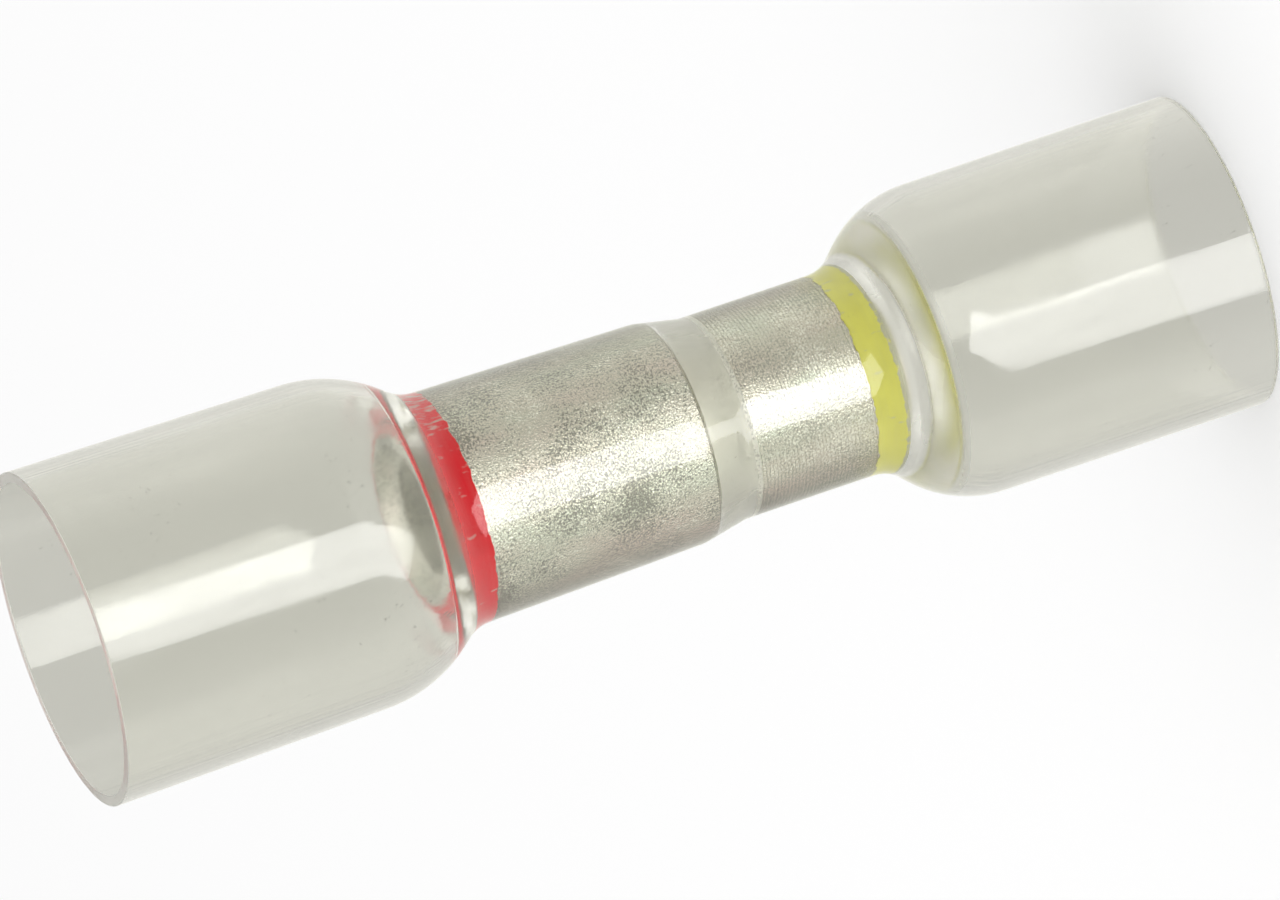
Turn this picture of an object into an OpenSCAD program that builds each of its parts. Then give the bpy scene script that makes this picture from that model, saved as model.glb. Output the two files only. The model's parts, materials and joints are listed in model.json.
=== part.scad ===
// Step-down butt splice connector for two wires of different size.
// A turned metal barrel takes a stripped wire in each end and is crimped on it.
// A clear heat-shrink sleeve is already shrunk tight on the barrel, and its two
// wide tubes are shrunk on the wires' insulation once the crimps are made.
// An ink ring at each end of the barrel shows which wire size goes there.
//
// The axis is Z. The part stands on the mouth of its small (yellow) end, whose
// centre is the origin, and its large (red) end is up. All sizes are in millimetres.

/* [Barrel] */
// Outer diameter of the large (red) half of the barrel
large_d = 6.6; // [6.3:0.05:7.4]
// Length of the large half, from the step to its end
large_length = 9.8; // [8:0.1:16]
// Outer diameter of the small (yellow) half, turned down from the large one
small_d = 5.8; // [5.5:0.05:6.0]
// Length of the small half, from its end to the step
small_length = 7.8; // [6:0.05:12]
// Diameter of the bore for the large wire
large_bore_d = 4.2; // [3.6:0.05:4.5]
// Diameter of the bore for the small wire
small_bore_d = 3.4; // [2.6:0.05:3.7]
// Angle at the tip of the drill that made the bores
drill_point = 118; // [90:1:140]
// Metal left between the two drill points, as the stop for both wires
wire_stop = 0.8; // [0.4:0.1:2]
// How far the middle of the stop lies above the step
stop_rise = 0.1; // [-1:0.1:2]
// Depth of the 45 degree lead-in at each bore's mouth
lead_in = 0.6; // [0.2:0.05:0.6]
// Width of the chamfer round the large end, seen from that end
large_chamfer = 0.4; // [0.1:0.05:0.4]
// Length of that chamfer along the barrel
large_chamfer_length = 0.2; // [0.1:0.05:0.3]
// Width of the chamfer round the small end, seen from that end
small_chamfer = 0.25; // [0.1:0.05:0.4]
// Length of that chamfer along the barrel
small_chamfer_length = 0.65; // [0.5:0.05:0.8]
// Chamfer left on the edge of the step
step_chamfer = 0.12; // [0.05:0.01:0.25]

/* [Ink rings] */
// Width of the red ring on the large half. The ink also runs on over the chamfer.
red_ring_width = 1.4; // [0.8:0.05:3]
// Width of the yellow ring on the small half. The ink also runs on over the chamfer.
yellow_ring_width = 1.25; // [0.5:0.05:3]
// How far from the large end the red ink stops on the chamfer
red_ink_margin = 0.08; // [0.05:0.01:0.09]
// How far from the small end the yellow ink stops on the chamfer
yellow_ink_margin = 0.3; // [0.1:0.05:0.45]
// Thickness of the ink
ink = 0.04; // [0.02:0.01:0.08]

/* [Sleeve] */
// Free length of the wide tube past the large end of the barrel
red_tube_length = 12.6; // [10:0.1:25]
// Free length of the wide tube past the small end of the barrel
yellow_tube_length = 11.8; // [10:0.05:25]
// Outer diameter of the sleeve at the red mouth
red_mouth_d = 11.64; // [10.8:0.02:13]
// Outer diameter of the sleeve at the yellow mouth
yellow_mouth_d = 10.9; // [10:0.02:12]
// How much narrower the red tube is at its shoulder than at its mouth
red_tube_taper = 0.38; // [0:0.02:0.5]
// How much narrower the yellow tube is at its shoulder than at its mouth
yellow_tube_taper = 0.1; // [0:0.02:0.5]
// Wall of the tubes, still expanded and thin
tube_wall = 0.38; // [0.25:0.01:0.5]
// Wall where the sleeve has shrunk on the small half
small_wall = 0.63; // [0.5:0.01:0.9]
// Wall on the large half, beside the step
step_wall = 0.56; // [0.45:0.01:0.8]
// Wall on the large half, at the red neck
neck_wall = 0.74; // [0.5:0.01:0.9]

/* [Shoulders] */
// Slope of the red shoulder from the axis, in degrees
red_slope = 38; // [30:1:50]
// Slope of the yellow shoulder from the axis, in degrees
yellow_slope = 45; // [30:1:50]
// How far before the barrel's large end the sleeve begins to widen
red_lift = 0.95; // [0.5:0.05:1.2]
// How far before the barrel's small end the sleeve begins to widen
yellow_lift = 1.2; // [0.8:0.05:1.25]
// Rounding of the outside of the red shoulder
red_shoulder_r = 5; // [2:0.1:6]
// Rounding of the outside of the yellow shoulder
yellow_shoulder_r = 4; // [2:0.1:5]
// Rounding of the outside of both necks
neck_r = 1.7; // [0.8:0.1:2]
// How far before the barrel's large end the inside leaves the ink
red_leave = 0.45; // [0.35:0.05:0.9]
// How far past the barrel's small end the inside runs on straight
yellow_past = 0.35; // [0.25:0.05:0.45]
// Slope of the red shoulder where its wall has thinned to the tube's, in degrees
red_knee = 27; // [22:1:30]
// Slope of the yellow shoulder where its wall has thinned to the tube's, in degrees
yellow_knee = 24; // [20:1:28]
// Straight stretch of the inside at both knees
knee_run = 0.3; // [0.3:0.05:0.4]
// Rounding of the inside at both knees
knee_r = 0.5; // [0.2:0.1:0.5]
// Rounding of the inside where it opens past the small end
past_r = 0.4; // [0.1:0.1:0.6]
// Length over which the sleeve bridges the step, clear of the metal below it
bridge_length = 1.65; // [1:0.05:2.5]
// Rounding of the outside at each end of the bridge
bridge_r = 1.5; // [0.5:0.1:2]

/* [Hidden] */
$fn = 128;

// Turn of each straight piece that an arc of a profile is drawn with, in degrees
arc_step = 4;
// The cuts reach this far past the metal that they remove
past = 1;

large_r = large_d / 2;
small_r = small_d / 2;
red_mouth_r = red_mouth_d / 2;
yellow_mouth_r = yellow_mouth_d / 2;

// Heights of the barrel's two ends and its step, and of the red mouth
small_end_z = yellow_tube_length;
step_z = small_end_z + small_length;
large_end_z = step_z + large_length;
red_mouth_z = large_end_z + red_tube_length;

// Length of the drill point below each bore, and depth of the full bore from its end
// of the barrel
large_point = drill_tip(large_bore_d);
small_point = drill_tip(small_bore_d);
large_bore_depth = large_length - stop_rise - wire_stop / 2 - large_point;
small_bore_depth = small_length + stop_rise - wire_stop / 2 - small_point;

// Heights of the ink rings' edges on the two halves
red_ring_bottom = large_end_z - large_chamfer_length - red_ring_width;
yellow_ring_top = small_end_z + small_chamfer_length + yellow_ring_width;

// Length of the cone that a drill of diameter d leaves at the bottom of its bore
function drill_tip(d) = d / 2 / tan(drill_point / 2);

// A unit vector along v
function unit(v) = v / norm(v);

// Points of the arc of radius r that rounds corner q of the path p, q, s
function corner_arc(p, q, s, r) =
    let (
        back = unit(p - q),
        ahead = unit(s - q),
        half = acos(back * ahead) / 2,
        centre = q + unit(back + ahead) * r / sin(half),
        first = q + back * r / tan(half) - centre,
        start = atan2(first.y, first.x),
        sweep = sign(cross(ahead, back)) * (2 * half - 180),
        steps = ceil(abs(sweep) / arc_step)
    )
    [for (i = [0 : steps]) let (a = start - sweep * i / steps) centre + r * [cos(a), sin(a)]];

// The path through corners [radius, height, rounding], with each corner rounded
function rounded_path(corners) =
    let (last = len(corners) - 1, at = [for (c = corners) [c.x, c.y]])
    [for (i = [0 : last])
        each i == 0 || i == last || corners[i].z == 0
            ? [at[i]]
            : corner_arc(at[i - 1], at[i], at[i + 1], corners[i].z)];

// A list from its last item to its first
function reversed(list) = [for (i = [len(list) - 1 : -1 : 0]) list[i]];

// How far the slope of a shoulder runs along the axis while it rises from one radius to another
function slope_run(from_r, to_r, slope) = (to_r - from_r) / tan(slope);

// Heights of the sleeve's necks, where the tubes begin to widen
red_neck_z = large_end_z - red_lift;
yellow_neck_z = small_end_z + yellow_lift;

// Outside radii of the sleeve, on the barrel and at the root of each tube
small_out_r = small_r + small_wall;
step_out_r = large_r + step_wall;
neck_out_r = large_r + neck_wall;
red_root_r = red_mouth_r - red_tube_taper / 2;
yellow_root_r = yellow_mouth_r - yellow_tube_taper / 2;

// Heights of the shoulders' corners
red_shoulder_z = red_neck_z + slope_run(neck_out_r, red_root_r, red_slope);
yellow_shoulder_z = yellow_neck_z - slope_run(small_out_r, yellow_root_r, yellow_slope);

// Corners of a shoulder's inside: the bend at the foot of the tube, whose rounding shares its
// centre with the outside, and the knee, past which the wall grows thicker. up is 1 for
// a tube that goes up from its shoulder and -1 for one that goes down.
function inner_bend(root_r, shoulder_z, up, shoulder_r, slope, knee) =
    let (
        bend_r = shoulder_r - tube_wall,
        reach = bend_r * tan(knee / 2),
        bend = [root_r - tube_wall, shoulder_z + up * (shoulder_r * tan(slope / 2) - reach)],
        run = reach + knee_run
    )
    [
        [bend.x, bend.y, bend_r],
        [bend.x - run * sin(knee), bend.y - up * run * cos(knee), knee_r]
    ];

red_bend = inner_bend(red_root_r, red_shoulder_z, 1, red_shoulder_r, red_slope, red_knee);
yellow_bend =
    inner_bend(yellow_root_r, yellow_shoulder_z, -1, yellow_shoulder_r, yellow_slope, yellow_knee);

// The bridge over the step, from the small half up to the edge of the large half
bridge_top = step_z + step_chamfer;
bridge_bottom = bridge_top - bridge_length;

// Outside of the sleeve, from the yellow mouth up to the red one
sleeve_outside = rounded_path([
    [yellow_mouth_r, 0, 0],
    [yellow_root_r, yellow_shoulder_z, yellow_shoulder_r],
    [small_out_r, yellow_neck_z, neck_r],
    [small_out_r, bridge_bottom + small_wall / 2, bridge_r],
    [step_out_r, bridge_top + step_wall / 2, bridge_r],
    [neck_out_r, red_neck_z, neck_r],
    [red_root_r, red_shoulder_z, red_shoulder_r],
    [red_mouth_r, red_mouth_z, 0]
]);

// Inside of the sleeve: it hugs the barrel and the ink, and bridges the step
sleeve_inside = rounded_path([
    [yellow_mouth_r - tube_wall, 0, 0],
    yellow_bend[0],
    yellow_bend[1],
    [small_r + ink, small_end_z - yellow_past, past_r],
    [small_r + ink, yellow_ring_top, 0],
    [small_r, yellow_ring_top, 0],
    [small_r, bridge_bottom, 0],
    [large_r, bridge_top, 0],
    [large_r, red_ring_bottom, 0],
    [large_r + ink, red_ring_bottom, 0],
    [large_r + ink, large_end_z - red_leave, 0],
    red_bend[1],
    red_bend[0],
    [red_mouth_r - tube_wall, red_mouth_z, 0]
]);

// The clear sleeve, necked in on the barrel between its two open tubes
module heat_shrink_sleeve() {
    color("gainsboro", 0.45)
        rotate_extrude()
            polygon(concat(sleeve_outside, reversed(sleeve_inside)));
}

// A drilled bore with its lead-in and drill point, open at the origin towards +Z
module drilled_bore(d, depth, point) {
    translate([0, 0, -depth])
        cylinder(d = d, h = depth + past);
    translate([0, 0, -depth - point])
        cylinder(d1 = 0, d2 = d, h = point);
    translate([0, 0, -lead_in])
        cylinder(d1 = d, d2 = d + 2 * (lead_in + past), h = lead_in + past);
}

// Outline of the turned barrel before it is drilled
module barrel_outline() {
    polygon([
        [0, small_end_z],
        [small_r - small_chamfer, small_end_z],
        [small_r, small_end_z + small_chamfer_length],
        [small_r, step_z],
        [large_r - step_chamfer, step_z],
        [large_r, step_z + step_chamfer],
        [large_r, large_end_z - large_chamfer_length],
        [large_r - large_chamfer, large_end_z],
        [0, large_end_z]
    ]);
}

// The tinned barrel: one turned piece, drilled from both ends, with the metal
// left between the two bores as the stop for both wires
module crimp_barrel() {
    color("silver")
        difference() {
            rotate_extrude()
                barrel_outline();
            translate([0, 0, large_end_z])
                drilled_bore(large_bore_d, large_bore_depth, large_point);
            translate([0, 0, small_end_z])
                rotate([180, 0, 0])
                    drilled_bore(small_bore_d, small_bore_depth, small_point);
        }
}

// A ring of ink on a barrel half of radius r that ends at the origin and comes from below.
// It begins on the end's chamfer, a margin from the end, and covers the half for a width.
module ink_ring(r, width, chamfer, chamfer_length, margin) {
    slope = atan2(chamfer, chamfer_length);
    lip = [r - (chamfer_length - margin) * tan(slope), -margin];
    rotate_extrude()
        polygon([
            lip,
            [r, -chamfer_length],
            [r, -chamfer_length - width],
            [r + ink, -chamfer_length - width],
            [r + ink, ink * tan(slope / 2) - chamfer_length],
            lip + ink * [cos(slope), sin(slope)]
        ]);
}

module red_ring() {
    color("crimson")
        translate([0, 0, large_end_z])
            ink_ring(
                large_r, red_ring_width, large_chamfer, large_chamfer_length, red_ink_margin
            );
}

module yellow_ring() {
    color("gold")
        translate([0, 0, small_end_z])
            rotate([180, 0, 0])
                ink_ring(
                    small_r, yellow_ring_width, small_chamfer, small_chamfer_length,
                    yellow_ink_margin
                );
}

heat_shrink_sleeve();
crimp_barrel();
red_ring();
yellow_ring();
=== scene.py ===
"""Looks of a step-down butt splice connector: a clear heat-shrink sleeve shrunk on a tinned
crimp barrel, with a red and a yellow ink ring that mark the barrel's two ends.

The part stands on its yellow mouth with the axis along +Z. Sizes are in metres.
"""

import json
import math

import bmesh
import bpy
from mathutils import Matrix, Vector


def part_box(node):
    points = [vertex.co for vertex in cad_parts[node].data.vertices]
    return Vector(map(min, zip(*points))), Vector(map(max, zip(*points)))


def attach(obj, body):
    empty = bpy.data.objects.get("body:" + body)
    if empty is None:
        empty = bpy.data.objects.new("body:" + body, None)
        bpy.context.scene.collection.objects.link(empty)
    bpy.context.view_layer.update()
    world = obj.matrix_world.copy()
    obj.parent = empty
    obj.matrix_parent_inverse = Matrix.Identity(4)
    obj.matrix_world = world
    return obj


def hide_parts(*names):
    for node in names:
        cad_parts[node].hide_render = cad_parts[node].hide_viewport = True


bl_info = {
    "name": "Butt splice connector",
    "version": (1, 0, 0),
    "blender": (4, 5, 0),
    "location": "3D View > Sidebar > Splice",
    "description": "Builds the sleeve, barrel, ink rings and stage of a butt splice connector",
    "category": "Add Mesh",
}

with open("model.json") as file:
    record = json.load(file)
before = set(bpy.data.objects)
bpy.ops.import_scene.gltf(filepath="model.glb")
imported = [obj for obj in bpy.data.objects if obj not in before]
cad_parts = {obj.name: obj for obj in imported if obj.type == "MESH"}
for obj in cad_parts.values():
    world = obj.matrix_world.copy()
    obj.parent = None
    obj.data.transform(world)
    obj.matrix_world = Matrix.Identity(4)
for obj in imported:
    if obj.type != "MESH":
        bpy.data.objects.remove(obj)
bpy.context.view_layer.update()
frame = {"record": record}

MM = 0.001

SLEEVE_LOW, SLEEVE_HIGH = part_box("heat_shrink_sleeve")
BARREL_LOW, BARREL_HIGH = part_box("crimp_barrel")
RED_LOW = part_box("red_ring")[0]
YELLOW_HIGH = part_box("yellow_ring")[1]
BORE_RADIUS = {
    mount["name"]: mount["dims"]["r_mm"] * MM
    for mount in frame["record"]["mounts"]
    if mount["kind"] == "bore"
}


def number(name, description, default, **more):
    """A plain number setting."""
    return bpy.props.FloatProperty(name=name, description=description, default=default, **more)


def size(name, description, default):
    """A length setting, given in millimetres."""
    return number(name, description, default * MM, unit="LENGTH", precision=5)


def angle(name, description, default):
    """An angle setting, given in degrees."""
    return number(name, description, math.radians(default), subtype="ANGLE")


def levels(name, description, default, **more):
    """Three brightness settings: behind the camera, on both sides and behind the part."""
    return bpy.props.FloatVectorProperty(
        name=name, description=description, default=default, size=3, **more
    )


def colour(name, description, default):
    """A colour setting, in linear light."""
    return levels(name, description, default, subtype="COLOR", min=0.0, max=1.0)


def count(name, description, default):
    """A whole number setting."""
    return bpy.props.IntProperty(name=name, description=description, default=default)


class SpliceSleeveSettings(bpy.types.PropertyGroup):
    """Sizes and colour of the heat-shrink sleeve"""

    yellow_mouth_radius: size("Yellow mouth radius", "Outside radius at the yellow mouth", 5.45)
    red_taper: size("Red taper", "How much the red tube's radius shrinks to its shoulder", 0.19)
    yellow_taper: size("Yellow taper", "The same for the yellow tube", 0.05)
    tube_wall: size("Tube wall", "Wall of the open tubes", 0.38)
    small_wall: size("Small wall", "Wall on the barrel's small half", 0.63)
    step_wall: size("Step wall", "Wall on the large half, beside the step", 0.56)
    neck_wall: size("Neck wall", "Wall on the large half, at the red neck", 0.74)
    red_slope: angle("Red slope", "Slope of the red shoulder from the axis", 38)
    yellow_slope: angle("Yellow slope", "Slope of the yellow shoulder from the axis", 45)
    red_lift: size("Red lift", "Where the sleeve begins to widen, from the red end", 0.95)
    yellow_lift: size("Yellow lift", "Where the sleeve begins to widen, from the yellow end", 1.2)
    red_knee: angle("Red knee", "Slope at which the red shoulder has thinned to the tube's wall", 27)
    yellow_knee: angle("Yellow knee", "The same slope in the yellow shoulder", 24)
    knee_run: size("Knee run", "Straight stretch of the inside at both knees", 0.3)
    knee_radius: size("Knee radius", "Rounding of the inside at both knees", 0.5)
    red_leave: size("Red leave", "Where the inside leaves the ink, from the red end", 0.45)
    yellow_past: size("Yellow past", "How far the inside runs straight past the yellow end", 0.35)
    past_radius: size("Past radius", "Rounding where that stretch ends", 0.4)
    red_shoulder_radius: size("Red shoulder radius", "Rounding of the red shoulder", 5.0)
    yellow_shoulder_radius: size("Yellow shoulder radius", "Rounding of the yellow shoulder", 4.0)
    neck_radius: size("Neck radius", "Rounding of the outside of both necks", 1.7)
    bridge_length: size("Bridge length", "Length that bridges the barrel's step", 1.65)
    bridge_radius: size("Bridge radius", "Rounding at both ends of the bridge", 1.5)
    rim_radius: size("Rim radius", "Rounding of the cut edges of the mouths", 0.05)
    tuck: size("Tuck", "How far the inside is sunk in the metal that it is shrunk on", 0.02)
    segments: count("Segments", "Faces round the sleeve", 224)
    unevenness: size("Unevenness", "How far the shrunk surface strays from a true round", 0.012)
    gloss: number("Gloss", "Roughness of the outside", 0.06)
    inside_haze: number("Inside haze", "Roughness of the inside of the tubes", 0.10)
    red_neck_haze: number("Red neck haze", "Roughness of the inside at the red shoulder", 0.10)
    yellow_neck_haze: number("Yellow neck haze", "The same at the yellow shoulder", 0.34)
    bridge_haze: number("Bridge haze", "Roughness of the inside where it bridges the step", 0.6)
    cut_haze: number("Cut haze", "Roughness of the cut edges of the mouths", 0.45)
    tint: colour("Tint", "Colour of the clear plastic", (0.955, 0.957, 0.92))


class SpliceBarrelSettings(bpy.types.PropertyGroup):
    """Sizes and colours of the crimp barrel"""

    small_radius: size("Small radius", "Outside radius of the small half", 2.9)
    small_length: size("Small length", "Length of the small half, up to the step", 7.8)
    lead_in: size("Lead-in", "Depth of the lead-in at each bore's mouth", 0.6)
    large_chamfer: size("Large chamfer", "Width of the chamfer round the large end", 0.4)
    large_chamfer_length: size("Large chamfer length", "Its length along the barrel", 0.2)
    small_chamfer: size("Small chamfer", "Width of the chamfer round the small end", 0.25)
    small_chamfer_length: size("Small chamfer length", "Its length along the barrel", 0.65)
    step_chamfer: size("Step chamfer", "Chamfer on the edge of the step", 0.12)
    wire_stop: size("Wire stop", "Metal left between the two drill points", 0.8)
    stop_rise: size("Stop rise", "Height of the middle of the stop above the step", 0.1)
    drill_point: angle("Drill point", "Angle at the tip of the drill", 118)
    edge_radius: size("Edge radius", "Rounding of the turned edges", 0.05)
    groove_pitch: size("Groove pitch", "Distance between the turning grooves of the small half", 0.13)
    groove_depth: size("Groove depth", "Depth of the turning grooves", 0.010)
    segments: count("Segments", "Faces round the barrel", 192)
    tin: colour("Tin", "Colour of the tin plating", (0.59, 0.572, 0.502))
    # Colour of the dark specks: partly real pits, partly painted shade for facets that would mirror the
    # dim room.
    pit_and_shade: colour("Pits", "Colour of the pits in the plating", (0.22, 0.22, 0.185))
    # Near-white colour of the painted glints, and of the painted lift that lightens the dull places.
    painted_light: colour("Glints", "Colour of the bright grains of the plating", (0.95, 0.945, 0.86))
    # Each dullness also lifts the base colour towards near-white: painted light in the bores, lead-ins
    # and ends and under the bridge.
    bore_dullness_and_lift: number("Bore dullness", "How dull the plating is in the bores", 1.0)
    lead_in_dullness_and_lift: number("Lead-in dullness", "The same in the lead-ins", 0.35)
    end_dullness_and_lift: number("End dullness", "The same at both ends", 0.8)
    bridge_dullness_and_lift: number("Bridge dullness", "The same under the sleeve's bridge", 0.95)


class SpliceInkSettings(bpy.types.PropertyGroup):
    """Sizes and colours of the ink rings"""

    thickness: size("Thickness", "Thickness of the ink", 0.04)
    red_margin: size("Red margin", "How far from the large end the red ink stops", 0.08)
    yellow_margin: size("Yellow margin", "How far from the small end the yellow ink stops", 0.3)
    fade: size("Fade", "How far from the chamfer the ink is still thin", 0.1)
    wander: size("Wander", "How far the painted edge wanders along the barrel", 0.5)
    segments: count("Segments", "Faces round each ring", 384)
    red: colour("Red", "Colour of the red ink", (0.98, 0.001, 0.014))
    yellow: colour("Yellow", "Colour of the yellow ink", (0.94, 0.90, 0.18))
    red_streak: colour("Red streak", "Colour of the red brush streaks", (0.85, 0.22, 0.2))
    yellow_streak: colour("Yellow streak", "Colour of the yellow brush streaks", (0.7, 0.68, 0.3))
    red_bare: colour("Bare red", "What shows where the red ink is worn", (0.70, 0.58, 0.52))
    yellow_bare: colour("Bare yellow", "What shows where the yellow ink is worn", (0.60, 0.60, 0.48))
    red_rub: number("Red rub", "How worn the red ink is on the +X side", 0.17)
    yellow_rub: number("Yellow rub", "How worn the yellow ink is on the +X side", 0.04)
    red_thinness: number("Red thinness", "How worn the red ink is on the chamfer", 0.12)
    yellow_thinness: number("Yellow thinness", "How worn the yellow ink is on the chamfer", 0.42)


class SpliceStageSettings(bpy.types.PropertyGroup):
    """Camera, floor and lamps"""

    camera_tilt: angle("Camera tilt", "Height of the camera above the floor, as an angle", 15.4)
    axis_slant: angle("Axis slant", "Slant of the part's axis in the picture", 18.7)
    camera_distance: size("Camera distance", "From the middle of the part to the camera", 600)
    lens: number("Lens", "Focal length of the camera in millimetres", 506.0)
    aim_across: size("Aim across", "How far right of the part's middle the camera looks", 0.01)
    aim_down: size("Aim down", "How far below the part's middle the camera looks", 0.22)
    floor_size: size("Floor size", "Width of the square floor", 3000)
    floor_colour: colour("Floor colour", "Colour of the floor", (0.93, 0.93, 0.93))
    room_light: number("Room light", "Strength of the even light from all round", 0.97)
    room_tint: colour("Room tint", "Colour of the room in gloss and clear plastic", (1.0, 0.992, 0.93))
    gloss_levels: levels("Gloss levels", "How bright gloss mirrors the room", (0.34, 1.3, 1.0))
    clear_levels: levels("Clear levels", "How bright plastic shows the room", (0.80, 1.14, 0.56))
    side_lean: number("Side lean", "How much further the dim front reaches on +X than on -X", 0.2)
    softbox_turn: angle("Softbox turn", "Softbox's place round the axis, from the camera", 12)
    softbox_roll: angle("Softbox roll", "Turn of the softbox about the line to the part", -31)
    softbox_distance: size("Softbox distance", "From the middle of the part to the softbox", 120)
    softbox_width: size("Softbox width", "Width of the softbox", 68)
    softbox_height: size("Softbox height", "Height of the softbox", 110)
    softbox_radiance: number("Softbox brightness", "Brightness of the softbox, where 1 is white", 3.7)
    top_radiance: number("Top lamp brightness", "Brightness of the lamp overhead", 0.6)
    bounces: count("Light bounces", "How often light may bounce inside the clear plastic", 96)


SETTINGS = {
    "splice_sleeve": SpliceSleeveSettings,
    "splice_barrel": SpliceBarrelSettings,
    "splice_ink": SpliceInkSettings,
    "splice_stage": SpliceStageSettings,
}


# Nodes

FINISH_AND_LIFT = "finish"


class Painter:
    """Adds nodes to a material, a world or a node group, and links them."""

    def __init__(self, tree):
        self.nodes = tree.nodes
        self.links = tree.links

    def add(self, kind, **settings):
        node = self.nodes.new(kind)
        for key, value in settings.items():
            setattr(node, key, value)
        return node

    def put(self, value, socket):
        """Sets a socket to a value, or links an output to it."""
        if isinstance(value, bpy.types.NodeSocket):
            self.links.new(value, socket)
        else:
            socket.default_value = value

    def made(self, kind, inputs, **settings):
        """The first output of a new node, with the node's inputs by name or by number."""
        node = self.add(kind, **settings)
        for key, value in inputs.items():
            self.put(value, node.inputs[key])
        return node.outputs[0]

    def calc(self, operation, first, second=0.0):
        return self.made("ShaderNodeMath", {0: first, 1: second}, operation=operation)

    def plus(self, first, second):
        return self.calc("ADD", first, second)

    def times(self, first, second):
        return self.calc("MULTIPLY", first, second)

    def axes(self, vector):
        """The X, Y and Z of a vector."""
        node = self.add("ShaderNodeSeparateXYZ")
        self.put(vector, node.inputs[0])
        return tuple(node.outputs)

    def joined(self, x, y, z):
        """The vector that has a given X, Y and Z."""
        return self.made("ShaderNodeCombineXYZ", {"X": x, "Y": y, "Z": z})

    def object_place(self):
        return self.add("ShaderNodeTexCoord").outputs["Object"]

    def finish(self):
        """The finish that a piece stores in its points: how rough the sleeve is, how dull the
        tin and how far its colour is painted lighter, or how thin the ink."""
        return self.add("ShaderNodeAttribute", attribute_name=FINISH_AND_LIFT).outputs["Fac"]

    def stretched(self, place, scale):
        return self.made("ShaderNodeMapping", {"Vector": place, "Scale": scale})

    def noise(self, place, scale, detail=3.0, roughness=0.5):
        inputs = {"Vector": place, "Scale": scale, "Detail": detail, "Roughness": roughness}
        return self.made("ShaderNodeTexNoise", inputs)

    def spread(self, value, low, high, to_low=0.0, to_high=1.0):
        """Maps a range of values to another, held at its ends."""
        inputs = dict(enumerate((value, low, high, to_low, to_high)))
        return self.made("ShaderNodeMapRange", inputs, clamp=True)

    def blend(self, share, first, second):
        """Mixes two colours."""
        node = self.add("ShaderNodeMix", data_type="RGBA")
        self.put(share, node.inputs["Factor"])
        colours = [s for s in node.inputs if s.type == "RGBA"]
        for socket, item in zip(colours, (first, second)):
            self.put(item, socket)
        return [s for s in node.outputs if s.type == "RGBA"][0]

    def bump(self, height, strength, depth):
        inputs = {"Height": height, "Strength": strength, "Distance": depth}
        return self.made("ShaderNodeBump", inputs)


def node_group(name, build):
    """A node group by name, which is built where it isn't there yet."""
    return bpy.data.node_groups.get(name) or build(name)


# Outlines

ARC_STEP = math.radians(4)
STRAIGHT_STEP = 0.4 * MM
INK_STEP = 0.1 * MM
GROOVE_POINTS = 5


def corner_arc(before, corner, after, radius):
    """Points of the arc that rounds a corner of an outline."""
    back = (before - corner).normalized()
    ahead = (after - corner).normalized()
    half = back.angle(ahead) / 2
    centre = corner + (back + ahead).normalized() * radius / math.sin(half)
    first = corner + back * radius / math.tan(half) - centre
    turn = math.pi - 2 * half
    if back.x * ahead.y - back.y * ahead.x > 0:
        turn = -turn
    steps = max(2, math.ceil(abs(turn) / ARC_STEP))
    return [centre + Matrix.Rotation(turn * i / steps, 2) @ first for i in range(steps + 1)]


def outline(corners, straight_step=STRAIGHT_STEP):
    """The points of an outline through corners (radius, height, rounding), with its straight
    stretches divided into short ones."""
    places = [Vector(corner[:2]) for corner in corners]
    bends = []
    for i, (_, _, rounding) in enumerate(corners):
        if rounding and 0 < i < len(corners) - 1:
            bends.extend(corner_arc(places[i - 1], places[i], places[i + 1], rounding))
        else:
            bends.append(places[i])
    points = [bends[0]]
    for start, end in zip(bends, bends[1:]):
        pieces = max(1, math.ceil((end - start).length / straight_step))
        points.extend(start.lerp(end, i / pieces) for i in range(1, pieces + 1))
    return points


def plain(r, z):
    """A corner with no rounding."""
    return (r, z, 0.0)


def slope_run(from_radius, to_radius, slope):
    """How far a slope runs along the axis while it rises from one radius to another."""
    return (to_radius - from_radius) / math.tan(slope)


def barrel_heights(barrel):
    """Heights of the barrel's small end, step and large end."""
    return BARREL_LOW.z, BARREL_LOW.z + barrel.small_length, BARREL_HIGH.z


def inner_bend(root, shoulder, upward, rounding, slope, knee, sleeve):
    """The two corners of a shoulder's inside: the rounded one at the foot of the tube, which
    shares its centre with the outside, and the knee, past which the wall grows thicker."""
    inner_rounding = rounding - sleeve.tube_wall
    reach = inner_rounding * math.tan(knee / 2)
    bend_height = shoulder + upward * (rounding * math.tan(slope / 2) - reach)
    bend_radius = root - sleeve.tube_wall
    run = reach + sleeve.knee_run
    knee_radius = bend_radius - run * math.sin(knee)
    knee_height = bend_height - upward * run * math.cos(knee)
    return (bend_radius, bend_height, inner_rounding), (knee_radius, knee_height, sleeve.knee_radius)


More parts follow.
